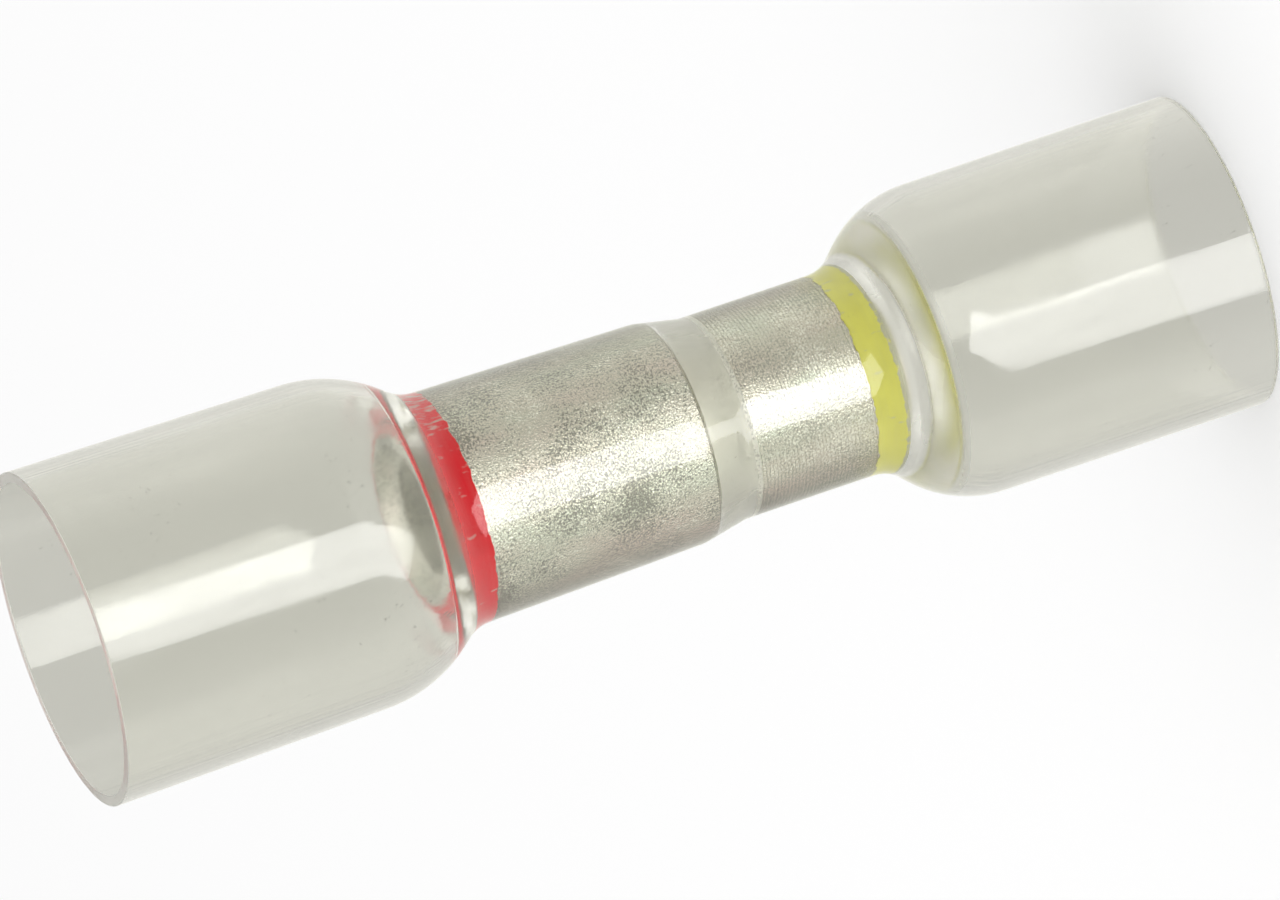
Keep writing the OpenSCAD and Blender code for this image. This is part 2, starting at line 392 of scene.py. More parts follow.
def sleeve_outline(sleeve, barrel):
    """The closed section of the sleeve, from the middle of the yellow rim up the outside and
    down the inside, and the number of points on the outside."""
    small_end, step, large_end = barrel_heights(barrel)
    large_radius = BARREL_HIGH.x
    red_mouth = SLEEVE_HIGH.x
    yellow_mouth = sleeve.yellow_mouth_radius
    red_root = red_mouth - sleeve.red_taper
    yellow_root = yellow_mouth - sleeve.yellow_taper
    small_out = barrel.small_radius + sleeve.small_wall
    step_out = large_radius + sleeve.step_wall
    neck_out = large_radius + sleeve.neck_wall
    red_neck = large_end - sleeve.red_lift
    yellow_neck = small_end + sleeve.yellow_lift
    red_shoulder = red_neck + slope_run(neck_out, red_root, sleeve.red_slope)
    yellow_shoulder = yellow_neck - slope_run(small_out, yellow_root, sleeve.yellow_slope)
    bridge_top = step + barrel.step_chamfer
    bridge_bottom = bridge_top - sleeve.bridge_length
    wall = sleeve.tube_wall
    rim = sleeve.rim_radius
    red_bend, red_knee = inner_bend(
        red_root, red_shoulder, 1, sleeve.red_shoulder_radius, sleeve.red_slope, sleeve.red_knee, sleeve
    )
    yellow_bend, yellow_knee = inner_bend(
        yellow_root, yellow_shoulder, -1, sleeve.yellow_shoulder_radius, sleeve.yellow_slope,
        sleeve.yellow_knee, sleeve
    )
    red_rim_middle = plain(red_mouth - wall / 2, SLEEVE_HIGH.z)
    yellow_rim_middle = plain(yellow_mouth - wall / 2, SLEEVE_LOW.z)
    outside = outline([
        yellow_rim_middle,
        (yellow_mouth, SLEEVE_LOW.z, rim),
        (yellow_root, yellow_shoulder, sleeve.yellow_shoulder_radius),
        (small_out, yellow_neck, sleeve.neck_radius),
        (small_out, bridge_bottom + sleeve.small_wall / 2, sleeve.bridge_radius),
        (step_out, bridge_top + sleeve.step_wall / 2, sleeve.bridge_radius),
        (neck_out, red_neck, sleeve.neck_radius),
        (red_root, red_shoulder, sleeve.red_shoulder_radius),
        (red_mouth, SLEEVE_HIGH.z, rim),
        red_rim_middle,
    ])
    inside = outline([
        red_rim_middle,
        (red_mouth - wall, SLEEVE_HIGH.z, rim),
        red_bend,
        red_knee,
        plain(large_radius - sleeve.tuck, large_end - sleeve.red_leave),
        plain(large_radius - sleeve.tuck, bridge_top),
        plain(barrel.small_radius - sleeve.tuck, bridge_bottom),
        (barrel.small_radius - sleeve.tuck, small_end - sleeve.yellow_past, sleeve.past_radius),
        yellow_knee,
        yellow_bend,
        (yellow_mouth - wall, SLEEVE_LOW.z, rim),
        yellow_rim_middle,
    ])
    return outside + inside[1:], len(outside)


def barrel_outline(barrel):
    """The half section of the drilled barrel, from the bottom of the small bore round the
    outside to the bottom of the large bore."""
    small_end, step, large_end = barrel_heights(barrel)
    large = BARREL_HIGH.x
    small = barrel.small_radius
    large_bore = BORE_RADIUS["large_wire_bore"]
    small_bore = BORE_RADIUS["small_wire_bore"]
    stop = step + barrel.stop_rise
    small_tip = stop - barrel.wire_stop / 2
    large_tip = stop + barrel.wire_stop / 2
    half_point = barrel.drill_point / 2
    small_floor = small_tip - small_bore / math.tan(half_point)
    large_floor = large_tip + large_bore / math.tan(half_point)
    edge = barrel.edge_radius
    groove_start = small_end + barrel.small_chamfer_length + edge
    below_grooves = [
        plain(0.0, small_tip),
        plain(small_bore, small_floor),
        (small_bore, small_end + barrel.lead_in, edge),
        (small_bore + barrel.lead_in, small_end, edge),
        (small - barrel.small_chamfer, small_end, edge),
        (small, small_end + barrel.small_chamfer_length, edge),
        plain(small, groove_start),
    ]
    grooves = [plain(small, groove_start), plain(small, step - edge)]
    above_step = [
        plain(small, step - edge),
        (small, step, edge),
        (large - barrel.step_chamfer, step, edge),
        (large, step + barrel.step_chamfer, edge),
        (large, large_end - barrel.large_chamfer_length, edge),
        (large - barrel.large_chamfer, large_end, edge),
        (large_bore + barrel.lead_in, large_end, edge),
        (large_bore, large_end - barrel.lead_in, edge),
        plain(large_bore, large_floor),
        plain(0.0, large_tip),
    ]
    fine = barrel.groove_pitch / GROOVE_POINTS
    return outline(below_grooves) + outline(grooves, fine)[1:] + outline(above_step)[1:]


# Geometry Nodes

LATHE_DEFAULTS = {
    "Sharp Angle": math.radians(35),
    "Groove Pitch": 1.0,
    "Groove Depth": 0.0,
    "Wander": 0.0,
    "Unevenness": 0.0,
    "Seed": 0.0,
}
MERGE_DISTANCE = 0.0005 * MM
NOISE_DETAIL = 6.0
GROOVE_NOISE = 2.0
GROOVE_NOISE_ALONG = 700.0
GROOVE_SHARE = 0.8
RIPPLE_NOISE = 5.0
RIPPLE_NOISE_ALONG = 60.0
WANDER_NOISE = 5.0
WANDER_ROUGHNESS = 0.68


def lathe_tree(name):
    """Node tree that turns a section, given as the points of a mesh in the XZ plane, into a
    solid of revolution. The points' own attributes say which of them are grooved, which
    wander along the axis and what finish the surface has, including how far the tin is painted lighter."""
    tree = bpy.data.node_groups.new(name, "GeometryNodeTree")
    sockets = {
        "Section": "NodeSocketGeometry",
        "Segments": "NodeSocketInt",
        **dict.fromkeys(LATHE_DEFAULTS, "NodeSocketFloat"),
        "Material": "NodeSocketMaterial",
    }
    for label, kind in sockets.items():
        tree.interface.new_socket(label, in_out="INPUT", socket_type=kind)
    tree.interface.new_socket("Geometry", in_out="OUTPUT", socket_type="NodeSocketGeometry")
    paint = Painter(tree)
    given = paint.add("NodeGroupInput").outputs

    def whole(operation, first, second):
        return paint.made("FunctionNodeIntegerMath", {0: first, 1: second}, operation=operation)

    def then(geometry, kind, inputs, **settings):
        """The geometry after one more node, with the node's other inputs by name."""
        return paint.made(kind, {"Geometry": geometry, **inputs}, **settings)

    counter = paint.add("GeometryNodeAttributeDomainSize", component="MESH")
    paint.put(given["Section"], counter.inputs["Geometry"])
    points = counter.outputs["Point Count"]
    grid = paint.add("GeometryNodeMeshGrid")
    paint.put(whole("ADD", given["Segments"], 1), grid.inputs["Vertices X"])
    paint.put(points, grid.inputs["Vertices Y"])

    index = paint.add("GeometryNodeInputIndex").outputs[0]
    spoke = whole("DIVIDE_FLOOR", index, points)
    place = whole("MODULO", index, points)
    around = paint.times(paint.calc("DIVIDE", spoke, given["Segments"]), 2 * math.pi)
    cosine = paint.calc("COSINE", around)
    sine = paint.calc("SINE", around)

    def of_section(field, data_type):
        inputs = {"Geometry": given["Section"], "Value": field, "Index": place}
        return paint.made("GeometryNodeSampleIndex", inputs, data_type=data_type)

    def point_attribute(name):
        node = paint.add("GeometryNodeInputNamedAttribute", data_type="FLOAT")
        paint.put(name, node.inputs["Name"])
        return of_section(node.outputs["Attribute"], "FLOAT")

    def noise_round(scale, along, roughness=0.5):
        """Noise that follows the turn round the axis and closes on itself."""
        inputs = {
            "Vector": paint.joined(cosine, sine, along),
            "W": given["Seed"],
            "Scale": scale,
            "Detail": NOISE_DETAIL,
            "Roughness": roughness,
        }
        noise = paint.made("ShaderNodeTexNoise", inputs, noise_dimensions="4D")
        return paint.calc("SUBTRACT", noise, 0.5)

    position = paint.add("GeometryNodeInputPosition").outputs[0]
    radius, _, height = paint.axes(of_section(position, "FLOAT_VECTOR"))

    phase = paint.times(paint.calc("DIVIDE", height, given["Groove Pitch"]), 2 * math.pi)
    wave = paint.times(paint.plus(paint.calc("COSINE", phase), -1.0), 0.5)
    uneven = noise_round(GROOVE_NOISE, paint.times(height, GROOVE_NOISE_ALONG))
    groove = paint.times(wave, paint.plus(uneven, GROOVE_SHARE))
    groove = paint.times(paint.times(groove, given["Groove Depth"]), point_attribute("grooved"))
    ripple = noise_round(RIPPLE_NOISE, paint.times(height, RIPPLE_NOISE_ALONG))
    ripple = paint.times(ripple, given["Unevenness"])
    radius = paint.plus(paint.plus(radius, groove), ripple)

    drift = noise_round(WANDER_NOISE, 0.0, WANDER_ROUGHNESS)
    drift = paint.times(paint.times(drift, given["Wander"]), point_attribute("wander"))
    spot = paint.joined(
        paint.times(radius, cosine), paint.times(radius, sine), paint.plus(height, drift)
    )

    edge = paint.add("GeometryNodeInputMeshEdgeAngle").outputs["Unsigned Angle"]
    sharp = paint.calc("GREATER_THAN", edge, given["Sharp Angle"])
    finish = {"Name": FINISH_AND_LIFT, "Value": point_attribute(FINISH_AND_LIFT)}
    creases = {"Shade Smooth": False, "Selection": sharp}
    solid = then(grid.outputs["Mesh"], "GeometryNodeSetPosition", {"Position": spot})
    solid = then(solid, "GeometryNodeStoreNamedAttribute", finish, data_type="FLOAT", domain="POINT")
    solid = then(solid, "GeometryNodeMergeByDistance", {"Distance": MERGE_DISTANCE})
    solid = then(solid, "GeometryNodeSetShadeSmooth", {}, domain="FACE")
    solid = then(solid, "GeometryNodeSetShadeSmooth", creases, domain="EDGE")
    solid = then(solid, "GeometryNodeRealizeInstances", {})
    solid = then(solid, "GeometryNodeSetMaterial", {"Material": given["Material"]})
    paint.put(solid, paint.add("NodeGroupOutput").inputs["Geometry"])
    return tree


def placed(name, data):
    """A new object in the scene."""
    item = bpy.data.objects.new(name, data)
    bpy.context.scene.collection.objects.link(item)
    return item


def turned_piece(name, section, marks, material, segments, **values):
    """A piece turned from a section by the lathe tree. marks gives the section's point
    attributes, and values the tree's other inputs by name."""
    mesh = bpy.data.meshes.new(name)
    mesh.from_pydata([(p.x, 0.0, p.y) for p in section], [], [])
    for mark in ("grooved", "wander", FINISH_AND_LIFT):
        attribute = mesh.attributes.new(mark, "FLOAT", "POINT")
        attribute.data.foreach_set("value", marks.get(mark, [0.0] * len(section)))
    piece = placed(name, mesh)
    tree = node_group("Lathe", lathe_tree)
    modifier = piece.modifiers.new("Lathe", "NODES")
    modifier.node_group = tree
    inputs = {**LATHE_DEFAULTS, "Segments": segments, "Material": material, **values}
    for item in tree.interface.items_tree:
        if item.item_type == "SOCKET" and item.in_out == "INPUT" and item.name in inputs:
            modifier[item.identifier] = inputs[item.name]
    graph = bpy.context.evaluated_depsgraph_get()
    turned = bpy.data.meshes.new_from_object(
        piece.evaluated_get(graph), preserve_all_data_layers=True, depsgraph=graph
    )
    piece.modifiers.clear()
    piece.data = turned
    bpy.data.meshes.remove(mesh)
    turned.name = name
    face_outwards(turned)
    return piece


def face_outwards(mesh):
    """Turns the faces of a closed mesh outwards."""
    work = bmesh.new()
    work.from_mesh(mesh)
    bmesh.ops.recalc_face_normals(work, faces=work.faces)
    if work.calc_volume(signed=True) < 0:
        bmesh.ops.reverse_faces(work, faces=work.faces)
    work.to_mesh(mesh)
    work.free()


# Materials

SPECK_LIMIT = 0.78
SPECK_EDGE = 0.06

# Clear sleeve
DUST = (0.35, 0.33, 0.28)
DUST_SPECKS = {"Fineness": 4200.0, "Share": 0.2, "Patch Fineness": 300.0}
DUST_SHOW = 0.6
SMEAR_STRETCH = (900.0, 900.0, 220.0)
SMEAR_RANGE = (0.45, 0.7)
SMUDGE = 0.09
LINE_STRETCH = (2600.0, 2600.0, 60.0)
LINE_DEPTH = 0.012 * MM
CLEAR_IOR = 1.54

# Tin plating
TINT_STRETCH = (520.0, 520.0, 170.0)
ROSY = (1.12, 0.90, 0.98)
ROSY_RANGE = (0.52, 0.68)
GREENISH = (0.88, 1.04, 1.0)
GREENISH_RANGE = (0.48, 0.34)
TINT_SHOW = 0.4
SMALL_HALF_GRAIN = 0.6
# Dark specks are partly real pits and partly painted shade; bright specks are painted glints.
PITS_AND_PAINTED_SHADE = {"Fineness": 14000.0, "Share": 0.5, "Patch Fineness": 420.0}
PIT_AND_SHADE_SHOW = 0.8
# Painted glints: bright specks in the base colour that stand in for facets catching the softbox.
PAINTED_GLINTS = {"Fineness": 16000.0, "Share": 0.42, "Patch Fineness": 640.0}
PAINTED_GLINT_SHOW = 0.5
PLATING_ROUGHNESS = (0.18, 0.26)
# Painted lift: how far the dull places are lightened towards near-white.
PAINTED_LIFT_SHOW = 0.8
DULL_ROUGHNESS = 0.3
DULL_METAL = 0.4
TURNING_MARKS = {"Along": 9000.0, "Around": 250.0}
TURNING_RELIEF = 0.25
GRAIN_DEPTH = 0.024 * MM

# Inks
RUB_RANGE = (1.2 * MM, 2.9 * MM)
SCRAPE_STRETCH = (5200.0, 5200.0, 1500.0)
WORN_RANGE = (0.66, 0.84)
WORN_MOST = 0.9
WORN_METAL = 0.4
BRUSH_MARKS = {"Along": 5200.0, "Around": 420.0}
STREAK_RANGE = (0.35, 0.72)
STREAK_SHOW = 0.12
INK_ROUGHNESS = (0.28, 0.45)
BRUSH_DEPTH = 0.01 * MM
INK_SPECULAR = 0.15

# The middle of what noise gives
MIDDLE = (0.3, 0.7)


def rgb(colour_setting, gain=1.0):
    """A colour setting as the four numbers of a colour socket."""
    return (*(min(1.0, part * gain) for part in colour_setting), 1.0)


def new_material(name):
    """A material with one Principled shader, the painter for its nodes and the shader's inputs."""
    material = bpy.data.materials.new(name)
    material.use_nodes = True
    paint = Painter(material.node_tree)
    shader = next(n for n in paint.nodes if n.type == "BSDF_PRINCIPLED")
    return material, paint, shader.inputs


def mask_group(name, labels):
    """A shader node group that gives a mask: its tree, painter, inputs and mask socket."""
    tree = bpy.data.node_groups.new(name, "ShaderNodeTree")
    for label in labels:
        tree.interface.new_socket(label, in_out="INPUT", socket_type="NodeSocketFloat")
    tree.interface.new_socket("Mask", in_out="OUTPUT", socket_type="NodeSocketFloat")
    paint = Painter(tree)
    given = paint.add("NodeGroupInput").outputs
    return tree, paint, given, paint.add("NodeGroupOutput").inputs["Mask"]


def specks_group(name):
    """Small scattered specks: dust on plastic; on the plating, pits that are partly painted shade, and
    painted glints.
    Fineness is in specks a metre, and Share is how much of the surface has them."""
    tree, paint, given, result = mask_group(name, ("Fineness", "Share", "Patch Fineness"))
    place = paint.object_place()
    grain = paint.noise(place, given["Fineness"], 4.0, 0.65)
    patches = paint.noise(place, given["Patch Fineness"], 2.0)
    limit = paint.calc("SUBTRACT", SPECK_LIMIT, paint.times(given["Share"], patches))
    paint.put(paint.spread(grain, limit, paint.plus(limit, SPECK_EDGE)), result)
    return tree


def rings_group(name):
    """Fine marks that run round the axis, left by a turning tool or a brush."""
    tree, paint, given, result = mask_group(name, ("Along", "Around"))
    x, y, z = paint.axes(paint.object_place())
    across = paint.times(x, given["Around"]), paint.times(y, given["Around"])
    spot = paint.joined(*across, paint.times(z, given["Along"]))
    paint.put(paint.noise(spot, 1.0), result)
    return tree


def mask(paint, name, build, inputs):
    """The mask that a node group gives in a material."""
    return paint.made("ShaderNodeGroup", inputs, node_tree=node_group(name, build))


def specks(paint, inputs):
    return mask(paint, "Specks", specks_group, inputs)


def marks_round(paint, inputs):
    return mask(paint, "Marks round the axis", rings_group, inputs)


def sleeve_material(sleeve):
    """Clear shrink tube: glossy outside, hazier inside, with extrusion lines, smears and dust."""
    material, paint, surface = new_material("clear_shrink_tube")
    place = paint.object_place()
    tone = paint.blend(paint.noise(place, 160.0, 2.0), rgb(sleeve.tint, 0.98), rgb(sleeve.tint, 1.02))
    dust = specks(paint, DUST_SPECKS)
    tone = paint.blend(paint.times(dust, DUST_SHOW), tone, rgb(DUST))
    paint.put(tone, surface["Base Color"])
    smears = paint.noise(paint.stretched(place, SMEAR_STRETCH), 1.0, 4.0)
    smudge = paint.spread(smears, *SMEAR_RANGE, 0.0, SMUDGE)
    paint.put(paint.plus(paint.finish(), smudge), surface["Roughness"])
    lines = paint.noise(paint.stretched(place, LINE_STRETCH), 1.0, 2.0)
    paint.put(paint.bump(lines, 0.5, LINE_DEPTH), surface["Normal"])
    paint.put(0.0, surface["Metallic"])
    paint.put(1.0, surface["Transmission Weight"])
    paint.put(CLEAR_IOR, surface["IOR"])
    return material


def tinted(base, gains):
    """A colour with its red, green and blue each changed by a gain."""
    return rgb([part * gain for part, gain in zip(base, gains)])


def tin_material(barrel):
    """Tin plating: mottled, pitted, with faint tints of colour and fine turning marks; its dark specks
    are partly painted shade, its bright specks are painted glints, and its dull places are painted
    lighter.
    """
    material, paint, surface = new_material("tinned_metal")
    place = paint.object_place()
    cloud = paint.noise(place, 420.0, 4.0)
    tone = paint.blend(cloud, rgb(barrel.tin, 0.92), rgb(barrel.tin, 1.08))
    tint = paint.noise(paint.stretched(place, TINT_STRETCH), 1.0)
    rosy = paint.spread(tint, *ROSY_RANGE, 0.0, TINT_SHOW)
    green = paint.spread(tint, *GREENISH_RANGE, 0.0, TINT_SHOW)
    tone = paint.blend(rosy, tone, tinted(barrel.tin, ROSY))
    tone = paint.blend(green, tone, tinted(barrel.tin, GREENISH))
    step = barrel_heights(barrel)[1]
    height = paint.axes(place)[2]
    coarse = paint.spread(height, step - barrel.step_chamfer, step, SMALL_HALF_GRAIN, 1.0)
    pits = specks(paint, PITS_AND_PAINTED_SHADE)
    painted_glints = specks(paint, PAINTED_GLINTS)
    dull = paint.finish()
    # Painted light: the dull places (bores, lead-ins, ends, under the bridge) are lightened towards
    # near-white.
    tone = paint.blend(paint.times(dull, PAINTED_LIFT_SHOW), tone, rgb(barrel.painted_light))
    # Painted glints: bright specks lighten the colour where facets would catch the softbox.
    tone = paint.blend(paint.times(painted_glints, PAINTED_GLINT_SHOW), tone, rgb(barrel.painted_light))
    # Dark specks: partly real pits, partly painted shade where facets would mirror the dim room.
    tone = paint.blend(paint.times(pits, paint.times(coarse, PIT_AND_SHADE_SHOW)), tone, rgb(barrel.pit_and_shade))
    paint.put(tone, surface["Base Color"])
    rough = paint.spread(paint.noise(place, 2600.0), *MIDDLE, *PLATING_ROUGHNESS)
    paint.put(paint.plus(rough, paint.times(dull, DULL_ROUGHNESS)), surface["Roughness"])
    paint.put(paint.spread(dull, 0.0, 1.0, 1.0, DULL_METAL), surface["Metallic"])
    grain = paint.noise(place, 15000.0, 2.0, 0.6)
    marks = marks_round(paint, TURNING_MARKS)
    relief = paint.plus(paint.times(grain, coarse), paint.times(marks, TURNING_RELIEF))
    paint.put(paint.bump(relief, 1.0, GRAIN_DEPTH), surface["Normal"])
    return material


def ink_material(name, ink, streak, bare, rub, thinness):
    """Marking ink put on with a brush: streaks of lighter and darker colour, worn to a bare
    colour in places, most of all on the chamfer and on the +X side."""
    material, paint, surface = new_material(name)
    place = paint.object_place()
    rubbed = paint.spread(paint.axes(place)[0], *RUB_RANGE, 0.0, rub)
    thin = paint.times(paint.finish(), thinness)
    scrapes = paint.noise(paint.stretched(place, SCRAPE_STRETCH), 1.0, 2.0)
    worn = paint.plus(scrapes, paint.plus(rubbed, thin))
    worn = paint.spread(worn, *WORN_RANGE, 0.0, WORN_MOST)
    marks = marks_round(paint, BRUSH_MARKS)
    streaks = paint.spread(marks, *STREAK_RANGE)
    cloud = paint.noise(place, 900.0)
    tone = paint.blend(cloud, rgb(ink, 0.82), rgb(ink, 1.1))
    tone = paint.blend(paint.times(streaks, STREAK_SHOW), tone, rgb(streak))
    paint.put(paint.blend(worn, tone, rgb(bare)), surface["Base Color"])
    paint.put(paint.times(worn, WORN_METAL), surface["Metallic"])
    paint.put(paint.spread(cloud, *MIDDLE, *INK_ROUGHNESS), surface["Roughness"])
    paint.put(paint.bump(marks, 0.25, BRUSH_DEPTH), surface["Normal"])
    paint.put(INK_SPECULAR, surface["Specular IOR Level"])
    return material


# Operators

RED_SEED = 3.0
YELLOW_SEED = 8.0
SLEEVE_SEED = 5.0


class SPLICE_OT_barrel(bpy.types.Operator):
    """Turn the tinned crimp barrel, with its bores and turning grooves"""

    bl_idname = "splice.barrel"
    bl_label = "Crimp barrel"

    def execute(self, context):
        barrel = context.scene.splice_barrel
        sleeve = context.scene.splice_sleeve
        section = barrel_outline(barrel)
        small_end, step, _ = barrel_heights(barrel)
        margin = barrel.small_chamfer_length + barrel.groove_pitch
        grooved = [
            1.0 if p.x > barrel.small_radius - barrel.groove_pitch
            and small_end + margin < p.y < step - barrel.groove_pitch else 0.0
            for p in section
        ]
        # Dullness at each point, which also sets the painted lift of the base colour.
        dull = [self.dullness(barrel, sleeve, p) for p in section]
        piece = turned_piece(
            "tinned_barrel", section, {"grooved": grooved, FINISH_AND_LIFT: dull}, tin_material(barrel),
            barrel.segments,
            **{"Groove Pitch": barrel.groove_pitch, "Groove Depth": barrel.groove_depth}
        )
        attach(piece, "root")
        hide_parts("crimp_barrel")
        return {"FINISHED"}

    def dullness(self, barrel, sleeve, point):
        """How dull the plating is at a point of the section, which also sets how far its colour is
        painted lighter: it is bright and unlifted only on the outside, away from the ends and from the
        bridge of the sleeve."""
        small_end, step, large_end = barrel_heights(barrel)
        bore = BORE_RADIUS["large_wire_bore" if point.y > step else "small_wire_bore"]
        if point.x < bore + barrel.edge_radius:
            return barrel.bore_dullness_and_lift
        if point.x < bore + barrel.lead_in:
            return barrel.lead_in_dullness_and_lift
        if min(point.y - small_end, large_end - point.y) < barrel.large_chamfer_length:
            return barrel.end_dullness_and_lift
        if step - sleeve.bridge_length < point.y < step:
            return barrel.bridge_dullness_and_lift
        return 0.0


class SPLICE_OT_ink_rings(bpy.types.Operator):
    """Paint the red and the yellow ink ring on the barrel's ends"""

    bl_idname = "splice.ink_rings"
    bl_label = "Ink rings"

    def execute(self, context):
        ink = context.scene.splice_ink
        barrel = context.scene.splice_barrel
        red = ink_material(
            "red_marking_ink", ink.red, ink.red_streak, ink.red_bare, ink.red_rub, ink.red_thinness
        )
        yellow = ink_material(
            "yellow_marking_ink", ink.yellow, ink.yellow_streak, ink.yellow_bare, ink.yellow_rub,
            ink.yellow_thinness
        )
        small_end, _, large_end = barrel_heights(barrel)
        red_section = self.section(
            ink, BARREL_HIGH.x, large_end, RED_LOW.z, barrel.large_chamfer,
            barrel.large_chamfer_length, ink.red_margin
        )
        yellow_section = self.section(
            ink, barrel.small_radius, small_end, YELLOW_HIGH.z, barrel.small_chamfer,
            barrel.small_chamfer_length, ink.yellow_margin
        )
        self.ring(ink, "red_ink", red_section, RED_LOW.z, red, RED_SEED, "red_ring", "red_ink")
        self.ring(ink, "yellow_ink", yellow_section, YELLOW_HIGH.z, yellow, YELLOW_SEED,
                  "yellow_ring", "yellow_ink")
        return {"FINISHED"}

    def section(self, ink, radius, barrel_end, painted_end, chamfer, chamfer_length, margin):
        """The section of a ring of ink, from a margin down the chamfer of the barrel's end to
        the painted edge. Its inside is sunk in the metal."""
        away = 1 if painted_end > barrel_end else -1
        slope = math.atan2(chamfer, chamfer_length)
        thick = ink.thickness
        lip = radius - (chamfer_length - margin) * math.tan(slope)
        lip_height = barrel_end + away * margin
        corner = barrel_end + away * (chamfer_length - thick * math.tan(slope / 2))
        return outline([
            plain(lip - thick, lip_height + away * thick),
            plain(lip, lip_height),
            plain(lip + thick * math.cos(slope), lip_height - away * thick * math.sin(slope)),
            plain(radius + thick, corner),
            plain(radius + thick, painted_end - away * thick / 3),
            plain(radius + thick * 2 / 3, painted_end),
            plain(radius - thick, painted_end),
            plain(radius - thick, corner + away * thick),
            plain(lip - thick, lip_height + away * thick),
        ], INK_STEP)

    def ring(self, ink, name, section, painted_end, material, seed, node, slot):
        """A ring of ink whose painted edge wanders along the barrel, and which is thin on the
        chamfer and a short way past it."""
        reach = max(abs(p.y - painted_end) for p in section)
        widest = max(p.x for p in section)
        wander = [(1 - abs(p.y - painted_end) / reach) ** 3 for p in section]
        edge = max(abs(p.y - painted_end) for p in section if p.x > widest - ink.thickness / 2)
        thin = [
            min(1.0, max(0.0, 1 + (abs(p.y - painted_end) - edge) / ink.fade)) for p in section
        ]
        piece = turned_piece(
            name, section, {"wander": wander, FINISH_AND_LIFT: thin}, material, ink.segments,
            Wander=ink.wander, Seed=seed
        )
        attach(piece, "root")
        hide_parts(node)


class SPLICE_OT_sleeve(bpy.types.Operator):
    """Shape the clear heat-shrink sleeve round the barrel"""

    bl_idname = "splice.sleeve"
    bl_label = "Heat-shrink sleeve"

    def execute(self, context):
        sleeve = context.scene.splice_sleeve
        barrel = context.scene.splice_barrel
        section, outside_points = sleeve_outline(sleeve, barrel)
        haze = [self.haze(sleeve, barrel, p, i >= outside_points) for i, p in enumerate(section)]
        piece = turned_piece(
            "clear_sleeve", section, {FINISH_AND_LIFT: haze}, sleeve_material(sleeve), sleeve.segments,
            Unevenness=sleeve.unevenness, Seed=SLEEVE_SEED
        )
        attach(piece, "root")
        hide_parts("heat_shrink_sleeve")
        return {"FINISHED"}

    def haze(self, sleeve, barrel, point, inside):
        """Roughness at a point of the section: the cut edges and the bridge are hazy."""
        step = barrel_heights(barrel)[1]
        if min(point.y - SLEEVE_LOW.z, SLEEVE_HIGH.z - point.y) < sleeve.rim_radius / 2:
            return sleeve.cut_haze
        if not inside:
            return sleeve.gloss
        if step - sleeve.bridge_length < point.y < step:
            return sleeve.bridge_haze
        if point.x < sleeve.yellow_mouth_radius - 2 * sleeve.tube_wall:
            return sleeve.red_neck_haze if point.y > step else sleeve.yellow_neck_haze
        return sleeve.inside_haze


TOP_LAMP_PLACE = (-0.12, -0.10, 0.45)
TOP_LAMP_WIDTH = 0.4
FLOOR_ROUGHNESS = 0.8
CLIP_START = 10 * MM

# Where the room changes, by how far a direction points to the camera
FRONT_TO_SIDE = (0.75, 0.1)
SIDE_TO_FAR = (-0.3, -0.85)


